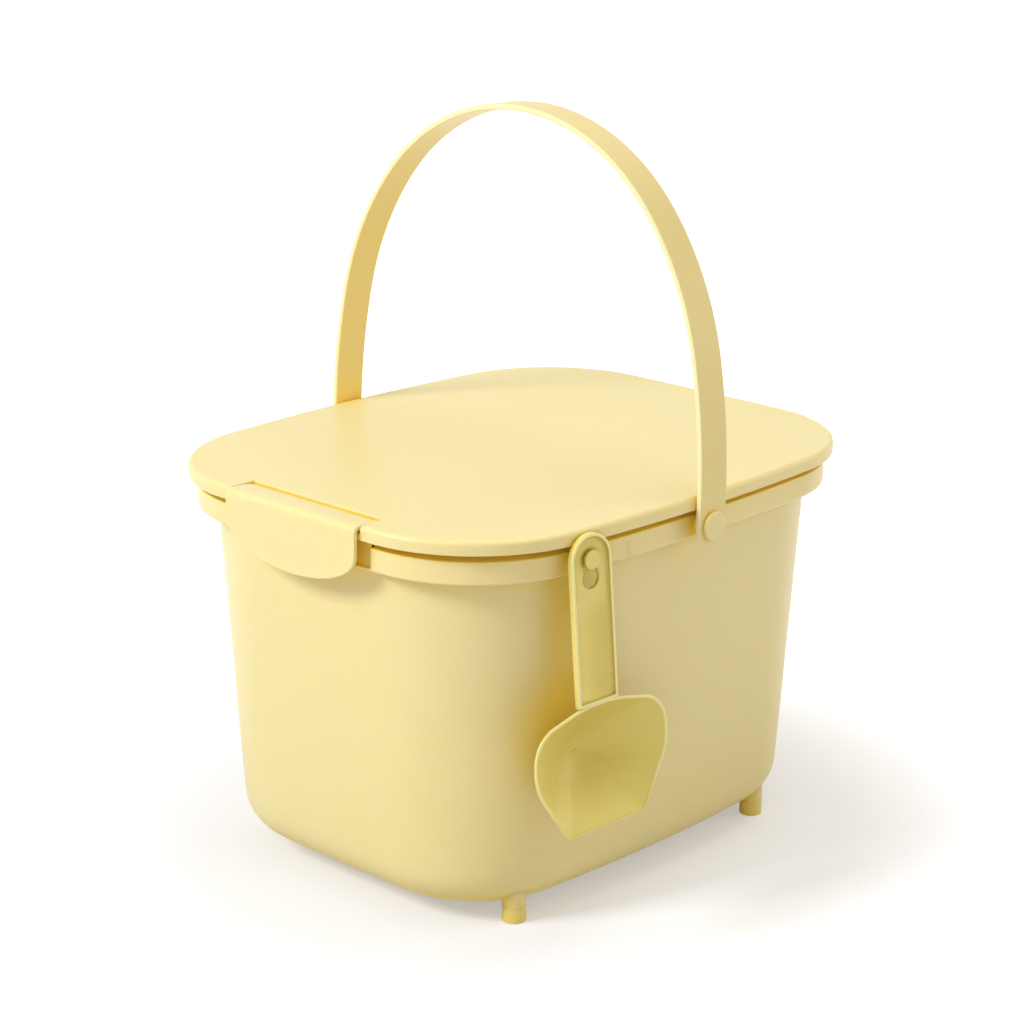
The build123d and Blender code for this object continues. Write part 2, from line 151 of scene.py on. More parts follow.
# injection-moulded plastic: base = blend(blend(colour, deep, slow cloud + fine fleck), hollow shade, how
# closed in
# the place is: painted shade and warm bounced light where faces crowd), and then a painted edge highlight by
# the rim attribute; bump = grain + slow wave
def mouldedPlastic(name, **changes):
    look = {**plasticLook, **changes}
    material, shop = newMaterial(name)
    cloud = shop.ramp(shop.noise(look["cloudSize"], 1.5), 0.35, 0.65)
    fleck = shop.noise(look["fleckSize"], 3.0, 0.6)
    share = cloud * look["cloudShare"] + fleck * look["fleckShare"]
    # painted shade: ambient occlusion blends in the hollow shade colour where faces crowd, standing in for
    # shadow and bounced light
    openness = shop.node("ShaderNodeAmbientOcclusion", {"samples": 6},
                         {"Distance": look["hollowReach"]}, "AO")
    hollowShadeShare = shop.ramp(openness, look["hollowTo"], look["hollowFrom"], 1.0, 0.0)
    colour = shop.blend(hollowShadeShare, shop.blend(share, look["colour"], look["deep"]), look["hollow"])
    # painted highlight: a paler colour laid along edges by the rim attribute, standing in for light caught on
    # rounded edges
    if "rim" in look:
        rim = shop.node("ShaderNodeAttribute", {"attribute_name": "rim"}, out="Fac")
        colour = shop.blend(rim, colour, look["rim"])
    patch = shop.noise(look["roughnessSize"], 4.0, 0.6)
    roughness = look["roughness"] + (patch - 0.5) * look["roughnessSpread"] * 2
    height = (shop.noise(look["grainSize"], 2.0) * (look["grainDepth"] * mm)
              + shop.noise(look["waveSize"], 0.0) * (look["waveDepth"] * mm))
    surface = shop.node("ShaderNodeBsdfPrincipled", {}, {
        "Base Color": colour, "Roughness": roughness, "Normal": shop.bump(height),
        "IOR": 1.49, "Specular IOR Level": 0.45, "Subsurface Weight": look["glow"],
        "Subsurface Radius": look["glowReach"], "Subsurface Scale": look["glowSize"]})
    shop.node("ShaderNodeOutputMaterial", {}, {"Surface": surface})
    return material


siliconeLook = {"colour": (0.70, 0.66, 0.55, 1), "pale": (0.78, 0.75, 0.66, 1), "toneSize": 9.0,
                "roughness": 0.55, "roughnessSpread": 0.1, "roughnessSize": 5.0, "dimpleSize": 0.8,
                "dimpleDepth": 0.02}


# soft silicone: base = blend(colour, pale, noise); bump = faint dimples
def silicone(name):
    look = siliconeLook
    material, shop = newMaterial(name)
    colour = shop.blend(shop.noise(look["toneSize"], 3.0), look["colour"], look["pale"])
    roughness = look["roughness"] + (shop.noise(look["roughnessSize"]) - 0.5) * look["roughnessSpread"] * 2
    dimples = shop.bump(shop.noise(look["dimpleSize"]) * (look["dimpleDepth"] * mm))
    surface = shop.node("ShaderNodeBsdfPrincipled", {}, {
        "Base Color": colour, "Roughness": roughness, "Normal": dimples})
    shop.node("ShaderNodeOutputMaterial", {}, {"Surface": surface})
    return material


steelLook = {"colour": (0.52, 0.51, 0.50, 1), "dark": (0.36, 0.35, 0.34, 1), "roughness": 0.32,
             "roughnessSpread": 0.1, "streak": (30, 3000, 3000)}


# drawn wire: streaks along X from noise stretched a hundredfold
def drawnSteel(name):
    look = steelLook
    material, shop = newMaterial(name)
    place = shop.node("ShaderNodeTexCoord", out="Object")
    stretched = shop.node("ShaderNodeMapping", {}, {"Vector": place, "Scale": look["streak"]})
    streak = shop.node("ShaderNodeTexNoise", {}, {"Vector": stretched, "Scale": 1.0, "Detail": 3.0}, "Fac")
    surface = shop.node("ShaderNodeBsdfPrincipled", {}, {
        "Base Color": shop.blend(streak, look["colour"], look["dark"]), "Metallic": 1.0,
        "Roughness": look["roughness"] + (streak - 0.5) * look["roughnessSpread"] * 2})
    shop.node("ShaderNodeOutputMaterial", {}, {"Surface": surface})
    return material


binPlastic = mouldedPlastic("bin plastic")
lidPlastic = mouldedPlastic("lid plastic", waveDepth=0.03)
# rim colours here are painted edge highlights
strapPlastic = mouldedPlastic("strap plastic", glow=0.04, colour=(0.865, 0.720, 0.315, 1),
                              deep=(0.835, 0.680, 0.260, 1), rim=(0.97, 0.88, 0.50, 1))
# the scoop's hollow shade is a dark painted shade deep in the bowl and in the grip's trough
scoopPlastic = mouldedPlastic("scoop plastic", roughness=0.36, glow=0.08, colour=(0.88, 0.74, 0.22, 1),
                              deep=(0.84, 0.70, 0.17, 1), rim=(0.98, 0.91, 0.42, 1),
                              hollow=(0.52, 0.39, 0.015, 1), hollowReach=0.050,
                              hollowFrom=0.97, hollowTo=0.50)
sealSilicone = silicone("seal silicone")
pinSteel = drawnSteel("pin steel")
print("materials made")


# Surfaces

# polyline with rounded corners; a corner is (a, b, reach), and its arc is the rational curve
# ((1-t)^2 P0 + 2w t(1-t) P1 + t^2 P2) / ((1-t)^2 + 2w t(1-t) + t^2), w = cos(half the turn), between the
# points reach before and after it. a, b and reach may be arrays over the columns. One holding point stands
# each side
def rounded(corners, closed=False, steps=6, hold=0.25):
    pairs = [np.broadcast_arrays(*[np.asarray(v, float) for v in corner[:2]]) for corner in corners]
    spots = [np.stack(pair, -1) for pair in pairs]
    shape = np.broadcast_shapes(*[spot.shape for spot in spots])
    spots = [np.broadcast_to(spot, shape) for spot in spots]
    rows = []
    for i, (spot, corner) in enumerate(zip(spots, corners)):
        if not closed and i in (0, len(corners) - 1):
            rows.append(spot)
            continue
        reach = np.asarray(corner[2], float)[..., None]
        into = spot - spots[i - 1]
        onward = spots[(i + 1) % len(spots)] - spot
        into = into / np.linalg.norm(into, axis=-1, keepdims=True)
        onward = onward / np.linalg.norm(onward, axis=-1, keepdims=True)
        first, last = spot - into * reach, spot + onward * reach
        weight = np.sqrt((1 + np.clip((into * onward).sum(-1, keepdims=True), -1, 1)) / 2)
        if hold:
            rows.append(first - into * reach * hold)
        for t in np.linspace(0, 1, steps + 1):
            before, between, after = (1 - t) ** 2, 2 * weight * t * (1 - t), t * t
            rows.append((before * first + between * spot + after * last) / (before + between + after))
        if hold:
            rows.append(last + onward * reach * hold)
    return np.array(rows)


# quads over grids of points [rows, columns, 3]; wrapped ways join last to first, and an end row or column
# may be closed by one flat face. A grid may bring its share of painted edge highlight, kept as the rim
# attribute. Grids of one piece are joined, and each closed shell is turned so that its volume is positive:
# volume = sum over triangles of a . (b x c) / 6
def meshPiece(name, grids, body, material, replaces=(), sharp=32):
    allPoints, allFaces, allHighlightShares, offset = [], [], [], 0
    for grid, ways, *rim in grids:
        rows, columns = grid.shape[:2]
        index = np.arange(rows * columns).reshape(rows, columns)
        down = np.vstack([index, index[:1]]) if "rows" in ways else index
        both = np.hstack([down, down[:, :1]]) if "columns" in ways else down
        quads = np.stack([both[:-1, :-1], both[:-1, 1:], both[1:, 1:], both[1:, :-1]], -1).reshape(-1, 4)
        ends = {"firstRow": index[0, ::-1], "lastRow": index[-1],
                "firstColumn": index[:, 0], "lastColumn": index[::-1, -1]}
        caps = [ends[way].tolist() for way in ends if way in ways]
        points = grid.reshape(-1, 3)
        a, b, c, d = (points[quads[:, k]] for k in range(4))
        volume = (a * np.cross(b, c)).sum() + (a * np.cross(c, d)).sum()
        for cap in caps:
            ring = points[cap]
            volume += (ring[0] * np.cross(ring[1:-1], ring[2:])).sum()
        faces = quads.tolist() + caps
        if volume < 0:
            faces = [face[::-1] for face in faces]
        allPoints.append(points)
        allHighlightShares.append(np.broadcast_to(rim[0] if rim else 0.0, (rows, columns)).ravel())
        allFaces += [[k + offset for k in face] for face in faces]
        offset += len(points)
    mesh = bpy.data.meshes.new(name)
    mesh.from_pydata((np.vstack(allPoints) * mm).tolist(), [], allFaces)
    mesh.polygons.foreach_set("use_smooth", np.ones(len(mesh.polygons), bool))
    mesh.update()
    mesh.set_sharp_from_angle(angle=math.radians(sharp))
    # the painted edge highlight shares go to the rim attribute
    highlightShares = np.concatenate(allHighlightShares)
    if highlightShares.any():
        mesh.attributes.new("rim", "FLOAT", "POINT").data.foreach_set("value", highlightShares)
    mesh.materials.append(material)
    piece = bpy.data.objects.new(name, mesh)
    bpy.context.scene.collection.objects.link(piece)
    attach(piece, body)
    if replaces:
        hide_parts(*replaces)
    print("piece", name, len(allFaces), "faces")


# unit vectors into a closed loop [points, 2]: the chord between a point's two neighbours turned a quarter
# round, to the left where the loop's area, the sum of x0 y1 - y0 x1, is positive, and to the right otherwise
def inwardOf(loop):
    following = np.roll(loop, -1, 0)
    chord = following - np.roll(loop, 1, 0)
    chord /= np.linalg.norm(chord, axis=1, keepdims=True) + 1e-12
    area = (loop[:, 0] * following[:, 1] - loop[:, 1] * following[:, 0]).sum()
    return np.stack([-chord[:, 1], chord[:, 0]], -1) * math.copysign(1, area)


# a round of a circle as points [count, 2]: middle + radius (cos a, sin a)
def roundOf(radius, angles, middle=(0.0, 0.0)):
    return np.array(middle) + radius * np.stack([np.cos(angles), np.sin(angles)], -1)


# bar between two ends: a closed loop [points, 2] carried along an axis; the ends are eased by shrinking the
# loop by ease (1 - sin q) at ease (1 - cos q) from the end
def bar(loop, start, end, axes=((1, 0, 0), (0, 1, 0), (0, 0, 1)), ease=0.4, steps=4):
    q = np.linspace(0, math.pi / 2, steps)
    tips = np.concatenate([start + ease * (1 - np.cos(q)), end - ease * (1 - np.cos(q[::-1]))])
    shrink = np.concatenate([ease * (1 - np.sin(q)), ease * (1 - np.sin(q[::-1]))])
    flat = loop[:, None] + inwardOf(loop)[:, None] * shrink[None, :, None]
    along, across, up = (np.array(axis, float) for axis in axes)
    grid = tips[None, :, None] * along + flat[..., :1] * across + flat[..., 1:] * up
    return grid, ("rows", "firstColumn", "lastColumn")


# turned piece: rows of (radius, height) about an axis through a place,
# point = place + radius (cos a side + sin a other) + height axis
def turned(rows, place, axis, count=48):
    axis = np.array(axis, float) / np.linalg.norm(axis)
    side = np.cross(axis, (0, 0, 1)) if abs(axis[2]) < 0.9 else np.array((1.0, 0, 0))
    side /= np.linalg.norm(side)
    other = np.cross(axis, side)
    a = np.linspace(0, 2 * math.pi, count, endpoint=False)
    spin = np.cos(a)[:, None] * side + np.sin(a)[:, None] * other
    grid = np.array(place) + rows[:, None, :1] * spin[None] + rows[:, None, 1:] * axis
    return grid, ("columns", "firstRow", "lastRow")


plan = {"halfWidth": 131.0, "halfDepth": 159.7, "sideBulge": 12.3, "endBulge": 2.0, "cornerSteps": 28,
        "rimCorner": 74.0}


# the plan shared by lid, rim and wall: four shallow arcs and four round corners, anticlockwise from the
# middle of the front. A point is centre + radius (cos a, sin a), and (cos a, sin a) is its outward direction.
# A corner's centre lies its radius inside the side's and the end's arcs, and is found by solving for x and y
# in turn. Extra places on the front come as pairs close together, so that a step there is sharp
def planPath(cornerRadius, places=()):
    width, depth = plan["halfWidth"], plan["halfDepth"]
    sideRadius = (depth ** 2 + plan["sideBulge"] ** 2) / (2 * plan["sideBulge"])
    endRadius = (width ** 2 + plan["endBulge"] ** 2) / (2 * plan["endBulge"])
    sideX, endY = width - sideRadius, depth - endRadius
    x, y = width - cornerRadius, depth - cornerRadius
    for _ in range(12):
        x = sideX + math.sqrt((sideRadius - cornerRadius) ** 2 - y * y)
        y = endY + math.sqrt((endRadius - cornerRadius) ** 2 - x * x)
    toSide, toEnd = math.atan2(y, x - sideX), math.atan2(y - endY, x)
    marks = [way * place + nudge for place in places for way in (1, -1) for nudge in (0.02, -0.02)]
    front = np.concatenate([np.linspace(toEnd - math.pi, -toEnd, 25)[1:-1],
                            np.arcsin(np.array(marks + [0.0]) / endRadius) - math.pi / 2])
    front = np.unique(np.round(np.sort(front), 9))
    bend = np.linspace(toSide, toEnd, plan["cornerSteps"])
    side = np.linspace(-toSide, toSide, 22)[1:-1]
    rear = np.linspace(toEnd, math.pi - toEnd, 14)[1:-1]
    runs = [(front[front >= -math.pi / 2], 0, -endY, endRadius), (-bend[::-1], x, -y, cornerRadius),
            (side, sideX, 0, sideRadius), (bend, x, y, cornerRadius), (rear, 0, endY, endRadius),
            (math.pi - bend[::-1], -x, y, cornerRadius), (side + math.pi, -sideX, 0, sideRadius),
            (bend + math.pi, -x, -y, cornerRadius), (front[front < -math.pi / 2], 0, -endY, endRadius)]
    path = np.concatenate([roundOf(radius, angles, (a, b)) for angles, a, b, radius in runs])
    outward = np.concatenate([roundOf(1.0, run[0]) for run in runs])
    return path, outward


# rows of (inset, height) carried round a path: point = path - outward * inset, at that height. Rows may
# differ from column to column
def carried(path, outward, rows):
    rows = np.broadcast_to(rows if rows.ndim == 3 else rows[:, None, :], (len(rows), len(path), 2))
    flat = path[None] - outward[None] * rows[..., :1]
    return np.concatenate([flat, rows[..., 1:]], -1)


# the step's rows where a column lies in front, within a half width of the middle, and the others elsewhere
def steppedRows(path, half, stepRows, otherRows):
    within = (path[:, 1] < 0) & (np.abs(path[:, 0]) < half)
    return np.where(within[None, :, None], stepRows[:, None], otherRows[:, None])


# Tub: one shell from the middle of the underside out, up the leaning wall, over the mouth and down inside
tub = {"bottom": 8.4, "baseInset": 23.2, "baseRound": 22.02, "wallInset": 11.4, "cornerRadius": 73.2,
       "wall": 2.4, "floor": 2.6, "innerRound": 19.0, "mouthTop": 204.8, "bandBottom": 190.6,
       "bandTop": 202.8, "bandInset": 4.7, "skin": 2.4, "pocketHalf": 50.0, "pocketDepth": 1.7,
       "pocketLip": 1.6, "pocketRise": 3.2}
lean = (tub["baseInset"] - tub["wallInset"]) / (tub["bandBottom"] - tub["bottom"])
innerInset = tub["wallInset"] + tub["wall"]
innerFloor = tub["bottom"] + tub["floor"]
wallPath, wallOut = planPath(tub["cornerRadius"] + tub["wallInset"])
shellRows = rounded([
    (66, tub["bottom"], 0), (tub["baseInset"], tub["bottom"], tub["baseRound"]),
    (tub["wallInset"], tub["bandBottom"], 3.0), (tub["wallInset"], tub["mouthTop"], 0.7),
    (innerInset, tub["mouthTop"], 0.7), (innerInset, tub["bandBottom"], 3.0),
    (innerInset + lean * (tub["bandBottom"] - innerFloor), innerFloor, tub["innerRound"]),
    (68, innerFloor, 0)], steps=10)
tubGrids = [(carried(wallPath, wallOut, shellRows), ("columns", "firstRow", "lastRow"))]

# rim band: outside face, softened lower edge, hollow below; over the front's pocket it steps back
bandPath, bandOut = planPath(plan["rimCorner"], places=(tub["pocketHalf"],))
bandFace, bandRoot = tub["bandInset"], tub["wallInset"] + 0.2
bandLow, bandHigh, bandInner = tub["bandBottom"], tub["bandTop"], tub["bandInset"] + tub["skin"]
bandRows = rounded([
    (bandInner, bandLow, 0.5), (bandFace, bandLow, 1.4), (bandFace, bandLow + 2.2, 0.05),
    (bandFace, bandHigh, 0.7), (bandFace + 2.7, bandHigh, 0.05), (bandRoot, bandHigh, 0.05),
    (bandRoot, bandHigh - tub["skin"], 0.05), (bandInner, bandHigh - tub["skin"], 0.5)], closed=True)
pocketFace, pocketLow = bandFace + tub["pocketDepth"], bandLow + tub["pocketLip"]
sill = bandHigh + tub["pocketRise"]
pocketRows = rounded([
    (bandRoot, bandLow, 0.5), (bandFace, bandLow, 0.6), (bandFace, pocketLow, 0.3),
    (pocketFace, pocketLow, 0.3), (pocketFace, sill, 0.5), (bandRoot, sill, 0.05),
    (bandRoot, bandHigh - 4, 0.05), (bandRoot, bandLow + 2, 0.05)], closed=True)
band = carried(bandPath, bandOut, steppedRows(bandPath, tub["pocketHalf"], pocketRows, bandRows))
tubGrids.append((band, ("rows", "columns")))

# ribs under the band, straight out from the middle: each end lies inset / slant inside the band's outline,
# where slant is the cosine between the rib and the outline's outward direction
rib = {"count": 12, "firstAngle": 7.5, "half": 1.0, "inner": 12.5, "outer": 6.3, "below": 0.6, "above": 2.0,
       "frontClear": -0.93}
ribLoop = np.array([(-rib["half"], bandLow + rib["below"]), (rib["half"], bandLow + rib["below"]),
                    (rib["half"], bandHigh - rib["above"]), (-rib["half"], bandHigh - rib["above"])])
for k in range(rib["count"]):
    ribAngle = math.radians(rib["firstAngle"] + k * 360 / rib["count"])
    direction = np.array((math.cos(ribAngle), math.sin(ribAngle), 0))
    if direction[1] < rib["frontClear"]:
        continue
    cross = np.array((-direction[1], direction[0], 0))
    nearest = np.argmax(bandPath @ direction[:2] - 40 * np.abs(bandPath @ cross[:2]))
    slant = bandOut[nearest] @ direction[:2]
    reach = np.linalg.norm(bandPath[nearest])
    tubGrids.append(bar(ribLoop, reach - rib["inner"] / slant, reach - rib["outer"] / slant,
                        (direction, cross, (0, 0, 1)), ease=0.1, steps=2))

# bead on the pocket that the latch's hook passes
bead = {"half": 22.0, "root": -151.5, "nose": -157.5, "low": 194.4, "crest": 196.0, "top": 199.4}
beadLoop = rounded([(bead["root"], bead["low"], 0.2), (bead["nose"] + 0.1, bead["low"], 0.5),
                    (bead["nose"], bead["crest"], 0.4), (bead["root"], bead["top"], 0.3)],
                   closed=True, steps=3)
tubGrids.append(bar(beadLoop, -bead["half"], bead["half"]))

# strap's line: arcs of falling radius from the leg to the middle, each (radius, degrees); the leg stands
# sum of radius (cos start - cos end) out from the middle
strap = {"width": 20.2, "thickness": 3.2, "base": 209.2, "edge": 0.95, "lean": 1.9,
         "arcs": ((350.2, 11.83), (161.4, 28.09), (121.5, 50.08)),
         "pivotY": 1.3, "pivotZ": 198.0, "boss": 5.2, "bossDepth": 9.0, "cap": 7.7, "capOuter": 137.2}
turnedSoFar = np.radians(np.cumsum([0.0] + [arc[1] for arc in strap["arcs"]]))
arcRadii = np.array([arc[0] for arc in strap["arcs"]])
strapOuter = float((arcRadii * (np.cos(turnedSoFar[:-1]) - np.cos(turnedSoFar[1:]))).sum())

# bosses for the strap, the scoop and the feet
bossRows = rounded([(0.5, 0, 0), (strap["boss"], 0, 0.4), (strap["boss"], -strap["bossDepth"], 0.4),
                    (0.5, -strap["bossDepth"], 0)], steps=4)
for way in (1, -1):
    bossPlace = (way * (strapOuter - strap["thickness"] - 0.3), strap["pivotY"], strap["pivotZ"])
    tubGrids.append(turned(bossRows, bossPlace, (way, 0, 0)))
peg = {"place": (131.9, -85.9, 199.6), "turn": 4.7, "tilt": 3.5, "lean": 1.5, "head": 5.0, "headTop": 0.8,
       "headBase": -1.1, "shank": 2.9, "tail": -15.2, "boss": 5.6, "bossTop": -4.0, "bossBase": -12.0}
pegTurn = math.radians(peg["turn"])
pegOut = np.array((math.cos(pegTurn), -math.sin(pegTurn), 0))
pegPlace = np.array(peg["place"])
pegBossRows = rounded([(0.5, peg["bossTop"], 0), (peg["boss"], peg["bossTop"], 0.4),
                       (peg["boss"], peg["bossBase"], 0.4), (0.5, peg["bossBase"], 0)], steps=4)
tubGrids.append(turned(pegBossRows, pegPlace, pegOut))
foot = {"x": 90.9, "y": 95.7, "radius": 6.2, "seat": 8.0, "bossTop": 19.0}
footBossRows = rounded([(0.5, foot["seat"], 0), (foot["radius"], foot["seat"], 0.25),
                        (foot["radius"], foot["bossTop"], 0.4), (0.5, foot["bossTop"], 0)], steps=3)
for x in (-foot["x"], foot["x"]):
    for y in (-foot["y"], foot["y"]):
        tubGrids.append(turned(footBossRows, (x, y, 0), (0, 0, 1)))

# rear knuckles: a round about the hinge's axis, closed by the block that carries it
hinge = {"y": 159.4, "z": 203.0, "knuckle": 3.6, "ease": 0.3,
         "tubRuns": ((-46.0, -30.0), (-8.0, 8.0), (30.0, 46.0)), "lidRuns": ((-29.6, -8.4), (8.4, 29.6)),
         "tubBlock": ((-6.0, -9.0), (-7.0, -0.6)), "lidBlock": ((-0.4, 6.4), (-2.1, 6.4), (-2.4, 0.4)),
         "lidTurn": 0.35}
hingePlace = (hinge["y"], hinge["z"])
knuckleAngle = np.radians(np.linspace(80, -60, 18))
tubKnuckle = np.vstack([roundOf(hinge["knuckle"], knuckleAngle, hingePlace),
                        np.array(hingePlace) + hinge["tubBlock"]])
tubGrids += [bar(tubKnuckle, start, end, ease=hinge["ease"]) for start, end in hinge["tubRuns"]]
meshPiece("tubMoulding", tubGrids, "bin", binPlastic, replaces=("tub",))

# Feet: short round pegs, eased where they meet the floor
footRows = rounded([(0.3, 0, 0), (foot["radius"], 0, 0.8), (foot["radius"], foot["seat"], 0.3),
                    (0.3, foot["seat"], 0)], steps=5)
for endName, y in (("front", -foot["y"]), ("rear", foot["y"])):
    for sideName, x in (("left", -foot["x"]), ("right", foot["x"])):
        footName = endName + "_" + sideName
        meshPiece("foot." + footName, [turned(footRows, (x, y, 0), (0, 0, 1))], "bin", binPlastic,
                  replaces=("foot_" + footName,))

# Lid: shallow pan turned over; over the front's notch the top steps down to the latch's bed
lid = {"bottom": 207.1, "top": 214.3, "edge": 2.4, "skin": 2.6, "notchHalf": 47.6, "notchFloor": 210.4,
       "notchBack": 16.0, "notchUnder": 209.0, "reach": 19.0}
lidPath, lidOut = planPath(plan["rimCorner"], places=(lid["notchHalf"],))
lidUnder = lid["top"] - lid["skin"]
lidRows = rounded([
    (lid["reach"], lidUnder, 0), (lid["skin"], lidUnder, 0.8), (lid["skin"], lid["bottom"], 0.3),
    (0, lid["bottom"], 0.35), (0, lid["notchFloor"] - 0.5, 0.1), (0, lid["top"], lid["edge"]),
    (lid["notchBack"], lid["top"], 0.2), (lid["reach"], lid["top"], 0)], steps=8)
notchRows = rounded([
    (lid["reach"], lid["notchUnder"] + 0.2, 0), (lid["skin"], lid["notchUnder"], 0.1),
    (lid["skin"], lid["bottom"], 0.3), (0, lid["bottom"], 0.35), (0, lid["notchFloor"], 0.3),
    (lid["notchBack"], lid["notchFloor"], 0.4), (lid["notchBack"], lid["top"], 0.5),
    (lid["reach"], lid["top"], 0)], steps=8)
cover = carried(lidPath, lidOut, steppedRows(lidPath, lid["notchHalf"], notchRows, lidRows))
lidKnuckle = np.vstack([roundOf(hinge["knuckle"], knuckleAngle[::-1] - hinge["lidTurn"], hingePlace),
                        np.array(hingePlace) + hinge["lidBlock"]])
lidGrids = [(cover, ("columns", "firstRow", "lastRow"))]
lidGrids += [bar(lidKnuckle, start, end, ease=hinge["ease"]) for start, end in hinge["lidRuns"]]
meshPiece("lidCover", lidGrids, "lid", lidPlastic, replaces=("lid_cover",))

# Latch: loop through plate, bend, flap and barrel; the flap's lower edge is half an ellipse,
# z = low + drop - drop sqrt(1 - (x / half)^2)
latch = {"half": 47.0, "skin": 2.4, "front": -162.9, "low": 180.3, "drop": 18.0, "top": 214.3,
         "back": -145.5, "bend": 3.2, "edge": 0.8, "slope": 7.5, "fall": 0.9, "endEase": 0.4, "heel": -149.6,
         "bed": 210.7}
theta = np.linspace(-math.pi / 2, math.pi / 2, 73)
lowest = latch["low"] + latch["drop"] * (1 - np.cos(theta))
flapBack, plateUnder = latch["front"] + latch["skin"], latch["top"] - latch["skin"]
plate = rounded([
    (latch["back"], latch["top"] - latch["fall"], 0.8), (latch["back"] - latch["slope"], latch["top"], 3.0),
    (latch["front"], latch["top"], latch["bend"]), (latch["front"], lowest, latch["edge"]),
    (flapBack, lowest, 0.5), (flapBack, plateUnder, 1.0), (latch["heel"], plateUnder, 0.5),
    (latch["heel"] + 1, latch["bed"], 0.5), (latch["back"], latch["bed"], 0.8)], closed=True, steps=7)

# the ends are eased: the last columns shrink by ease (1 - cos q) at ease (1 - sin q) from the end
endEase = latch["endEase"]
q = np.linspace(0.25, 1, 4) * math.pi / 2
endLoop = plate[:, -1]
sunk = endLoop[:, None] + inwardOf(endLoop)[:, None] * (endEase * (1 - np.cos(q)))[None, :, None]
endX = np.broadcast_to(latch["half"] - endEase * (1 - np.sin(q)), sunk.shape[:2])
rightEnd = np.concatenate([endX[..., None], sunk], -1)
leftEnd = rightEnd[:, ::-1] * np.array((-1, 1, 1))
plateX = np.broadcast_to((latch["half"] - endEase) * np.sin(theta), plate.shape[:2])
plateGrid = np.concatenate([plateX[..., None], plate], -1)
latchGrids = [(np.concatenate([leftEnd, plateGrid, rightEnd], 1), ("rows", "firstColumn", "lastColumn"))]

hook = {"half": 20.0, "root": -161.4, "nose": -157.9, "top": 191.4, "noseLow": 190.2, "rootLow": 187.6}
hookLoop = rounded([(hook["root"], hook["top"], 0.2), (hook["nose"], hook["top"], 0.3),
                    (hook["nose"], hook["noseLow"], 0.3), (hook["root"], hook["rootLow"], 0.3)],
                   closed=True, steps=3)
latchGrids.append(bar(hookLoop, -hook["half"], hook["half"], ease=0.3))
meshPiece("latchPlate", latchGrids, "latch", lidPlastic, replaces=("latch",))

# Handle: the leg's points, then the arcs'; half the strap is mirrored to the other side. The strap's section
# is a rounded oblong carried along them, and its half width near an end is sqrt(R^2 - (R - s)^2), s from
# the tip
tipRadius = strap["width"] / 2
legLow = strap["pivotZ"] - tipRadius
legS = np.concatenate([tipRadius * (1 - np.cos(np.linspace(0, math.pi / 2, 22))),
                       np.linspace(tipRadius, strap["base"] - legLow, 8)[1:]])
fromTip = tipRadius - np.minimum(legS, tipRadius)
halfPath = [np.stack([np.full(len(legS), strapOuter), legLow + legS], -1)]
halfOut = [np.tile((1.0, 0.0), (len(legS), 1))]
halfWidth = [np.sqrt(np.clip(tipRadius ** 2 - fromTip ** 2, 0.01, None))]
reached = np.array((strapOuter, strap["base"]))
for radius, start, end in zip(arcRadii, turnedSoFar[:-1], turnedSoFar[1:]):
    arcAngle = np.linspace(start, end, 18)[1:]
    arcMiddle = reached - roundOf(radius, start)
    halfPath.append(roundOf(radius, arcAngle, arcMiddle))
    halfOut.append(roundOf(1.0, arcAngle))
    halfWidth.append(np.full(len(arcAngle), tipRadius))
    reached = halfPath[-1][-1]
halfPath, halfOut, halfWidth = np.vstack(halfPath), np.vstack(halfOut), np.concatenate(halfWidth)
mirror = np.array((-1.0, 1.0))
arcPath = np.vstack([halfPath, (halfPath * mirror)[-2::-1]])
arcOut = np.vstack([halfOut, (halfOut * mirror)[-2::-1]])
arcWidth = np.concatenate([halfWidth, halfWidth[-2::-1]])
eased = np.minimum(strap["edge"], arcWidth * 0.6)
section = rounded([(0, -arcWidth, eased), (0, arcWidth, eased), (-strap["thickness"], arcWidth, eased),
                   (-strap["thickness"], -arcWidth, eased)], closed=True, steps=6)
upright = arcPath[None] + arcOut[None] * section[..., :1]

# the whole strap leans about its pivots: y = y0 + s cos a - h sin a, z = z0 + s sin a + h cos a
leanBy = -math.radians(strap["lean"])
aboveRoot = upright[..., 1] - strap["pivotZ"]
strapY = strap["pivotY"] + section[..., 1] * math.cos(leanBy) - aboveRoot * math.sin(leanBy)
strapZ = strap["pivotZ"] + section[..., 1] * math.sin(leanBy) + aboveRoot * math.cos(leanBy)
strapGrid = np.stack([upright[..., 0], strapY, strapZ], -1)
# painted highlight along the strap's two rounded edges, none on its faces
strapEdgeHighlight = np.clip(1 - (arcWidth - np.abs(section[..., 1])) / eased, 0, 1)
meshPiece("strapHandle", [(strapGrid, ("rows", "firstColumn", "lastColumn"), strapEdgeHighlight)], "handle",
          strapPlastic, replaces=("handle",), sharp=60)

# Pivots: headed pins, their flat caps softened round the edge
capHeight = strap["capOuter"] - strapOuter
capRows = rounded([(0.3, 0.3, 0), (strap["cap"], 0.3, 0.3), (strap["cap"], capHeight, 0.7),
                   (0.3, capHeight, 0)], steps=6)
for pivotName, way in (("left", -1), ("right", 1)):
    pivotPlace = (way * strapOuter, strap["pivotY"], strap["pivotZ"])
    meshPiece("pivot." + pivotName, [turned(capRows, pivotPlace, (way, 0, 0), 64)], "bin", lidPlastic,
              replaces=("handle_pivot_" + pivotName,))

